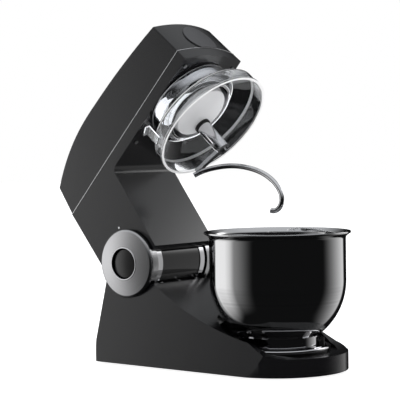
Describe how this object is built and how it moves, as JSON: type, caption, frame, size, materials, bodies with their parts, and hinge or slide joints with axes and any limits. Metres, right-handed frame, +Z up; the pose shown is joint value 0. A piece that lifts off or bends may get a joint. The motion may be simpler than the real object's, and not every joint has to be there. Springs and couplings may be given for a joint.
{
  "type": "stand mixer",
  "caption": "Tilting-head stand mixer with a polished steel bowl, planetary dough hook drive, clear splash guard and a side speed dial, shown with the head tilted up.",
  "frame": {"origin": "centre of the tilted-up mixer's bounding box, on the table", "axes": "+X to the bowl side, -Y to the speed dial, +Z up; the bowl's axis is vertical at X 0.1419 m"},
  "size_m": [0.5097, 0.226, 0.5427],
  "materials": {
    "black_paint": "satin black paint",
    "gloss_black": "glossy black",
    "chrome": "polished chrome",
    "steel": "plain steel",
    "polished_steel": "polished stainless steel",
    "satin_aluminium": "satin aluminium",
    "cast_aluminium": "as cast",
    "rubber": "matt",
    "black_plastic": "fine texture",
    "grey_plastic": "satin",
    "clear_plastic": "clear moulded plastic",
    "bronze": "sintered bronze",
    "white_mark": "printed mark",
    "board_green": "board"
  },
  "bodies": {
    "base": {"base_shell": "black_paint", "base_plate": "steel", "base_plate_screws": "steel", "rubber_feet": "rubber", "cable_gland": "rubber", "bowl_seat": "black_plastic", "hinge_barrel": "gloss_black", "barrel_end_rings": "chrome", "hinge_bushes": "bronze", "barrel_screws": "chrome", "assist_spring": "steel", "latch_spring": "steel"},
    "head": {"hinge_shaft": "steel", "hinge_rings": "satin_aluminium", "hinge_cap": "black_plastic", "speed_encoder": "black_plastic", "dial_pointer": "white_mark", "arm_frame": "black_paint", "head_cover": "black_paint", "seam_trim": "satin_aluminium", "hub_cap": "grey_plastic", "cover_screws": "steel", "control_board": "board_green", "motor_housing": "steel", "motor_plate": "steel", "motor_screws": "steel", "motor_bearings": "steel", "drive_belt": "rubber", "gearbox_housing": "cast_aluminium", "gearbox_screws": "steel", "ring_gear": "steel", "carrier_bearings": "steel", "drive_collar": "chrome", "splash_guard": "clear_plastic", "guard_tab": "clear_plastic"},
    "dial": {"dial_face": "satin_aluminium", "dial_ring": "chrome", "dial_badge": "gloss_black", "dial_hub": "black_plastic"},
    "rotor": {"motor_rotor": "steel", "cooling_fan": "black_plastic", "motor_pulley": "cast_aluminium"},
    "carrier": {"driven_pulley": "cast_aluminium", "carrier_shaft": "steel", "planet_carrier": "chrome", "beater_bushes": "bronze"},
    "beater": {"beater_shaft": "steel", "planet_gear": "steel", "shaft_seal": "rubber", "bayonet_pin": "steel", "dough_hook": "polished_steel"},
    "bowl": {"bowl": "polished_steel", "bowl_foot": "polished_steel", "handle_brackets": "chrome"},
    "front_handle": {"front_handle": "chrome"},
    "rear_handle": {"rear_handle": "chrome"},
    "release": {"latch_slider": "steel", "release_button": "black_plastic"}
  },
  "joints": [
    {"name": "head_tilt", "type": "hinge", "parent": "base", "child": "head", "pos_m": [-0.09705, 0, 0.1615], "axis": [0, 1, 0], "range_deg": [0, 48.2]},
    {"name": "dial_turn", "type": "hinge", "parent": "head", "child": "dial", "pos_m": [-0.09705, 0, 0.1615], "axis": [0, 1, 0], "range_deg": [0, 270]},
    {"name": "carrier_spin", "type": "hinge", "parent": "head", "child": "carrier", "pos_m": [-0.03131, 0, 0.42332], "axis": [0.7455, 0, -0.6665], "continuous": true},
    {"name": "beater_spin", "type": "hinge", "parent": "carrier", "child": "beater", "pos_m": [-0.04816, 0.02121, 0.40447], "axis": [0.7455, 0, -0.6665], "continuous": true},
    {"name": "rotor_spin", "type": "hinge", "parent": "head", "child": "rotor", "pos_m": [-0.08239, 0, 0.1779], "axis": [0.7455, 0, -0.6665], "continuous": true},
    {"name": "bowl_twist", "type": "hinge", "parent": "base", "child": "bowl", "pos_m": [0.14195, 0, 0], "axis": [0, 0, 1], "range_deg": [-20, 0]},
    {"name": "front_handle_fold", "type": "hinge", "parent": "bowl", "child": "front_handle", "pos_m": [0.15795, 0, 0.038], "axis": [0, -1, 0], "range_deg": [0, 20]},
    {"name": "rear_handle_fold", "type": "hinge", "parent": "bowl", "child": "rear_handle", "pos_m": [0.12595, 0, 0.038], "axis": [0, 1, 0], "range_deg": [0, 20]},
    {"name": "release_press", "type": "slide", "parent": "base", "child": "release", "axis": [1, 0, 0], "range_m": [0, 0.004], "stiffness_N_per_m": 700, "springref_m": -0.003, "deforming": ["latch_spring"]}
  ],
  "couplings": [
    {"joint": "beater_spin", "follows": "carrier_spin", "ratio": -3.75},
    {"joint": "rotor_spin", "follows": "carrier_spin", "ratio": 4.3333}
  ]
}
